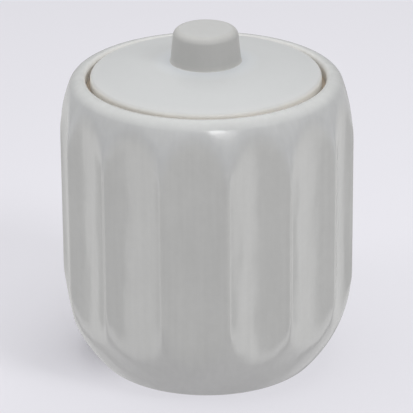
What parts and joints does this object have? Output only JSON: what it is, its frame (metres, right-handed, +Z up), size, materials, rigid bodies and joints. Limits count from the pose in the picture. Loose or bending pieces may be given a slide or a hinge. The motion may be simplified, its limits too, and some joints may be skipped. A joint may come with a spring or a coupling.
{
  "type": "cotton pad holder",
  "caption": "Round glazed stoneware jar with vertical scooped flutes, a domed drop-in lid and a round knob, for cotton pads.",
  "frame": {"origin": "centre of the foot ring, on the surface that the jar stands on", "axes": "+Z up along the axis of the jar; a flute faces -Y, the front, and +X is to the right of it"},
  "size_m": [0.0954, 0.0932, 0.1138],
  "materials": {
    "glazed_body": "glossy pale grey-white glaze on stoneware, with a bare foot ring",
    "glazed_lid": "glossy pale grey-white glaze, thinner and warmer at the edge",
    "glazed_knob": "satin to glossy pale grey-white glaze, warmer at its foot"
  },
  "bodies": {
    "jar": {"jar": "glazed_body"},
    "lid": {"lid": "glazed_lid", "lid_knob": "glazed_knob"}
  },
  "joints": [
    {"name": "lid_lift", "type": "slide", "parent": "jar", "child": "lid", "axis": [0, 0, 1], "range_m": [0, 0.06]}
  ]
}
